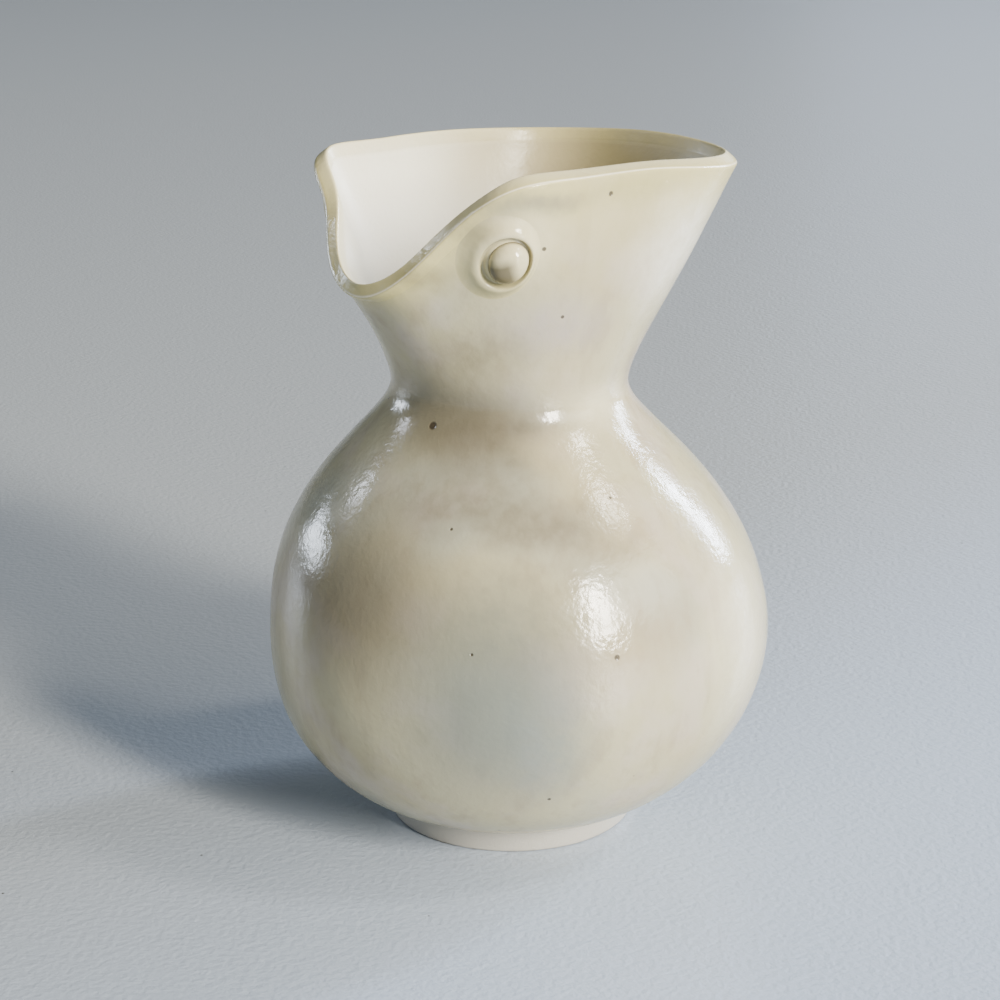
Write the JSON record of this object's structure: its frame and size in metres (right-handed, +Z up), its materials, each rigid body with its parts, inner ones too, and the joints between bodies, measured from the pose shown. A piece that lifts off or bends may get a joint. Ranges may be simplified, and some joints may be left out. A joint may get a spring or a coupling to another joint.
{
  "type": "pitcher",
  "caption": "Small stoneware pitcher: round bulb on a trimmed foot, flared head with a dipped, folded spout, and an applied clay eye on each side.",
  "frame": {"origin": "centre of the foot, on the surface that the pitcher stands on", "axes": "+Z up along the axis that the bulb was thrown on, -Y towards the spout, +X towards the pitcher's left side"},
  "size_m": [0.1126, 0.1126, 0.1523],
  "materials": {
    "glaze": "satin",
    "thin_glaze": "satin",
    "bare_clay": "matte"
  },
  "bodies": {
    "root": {"bulb": "glaze", "foot_ring": "bare_clay", "head": "glaze", "lip": "thin_glaze", "left_eye_pad": "glaze", "right_eye_pad": "glaze", "left_eye_bead": "thin_glaze", "right_eye_bead": "thin_glaze"}
  },
  "joints": []
}
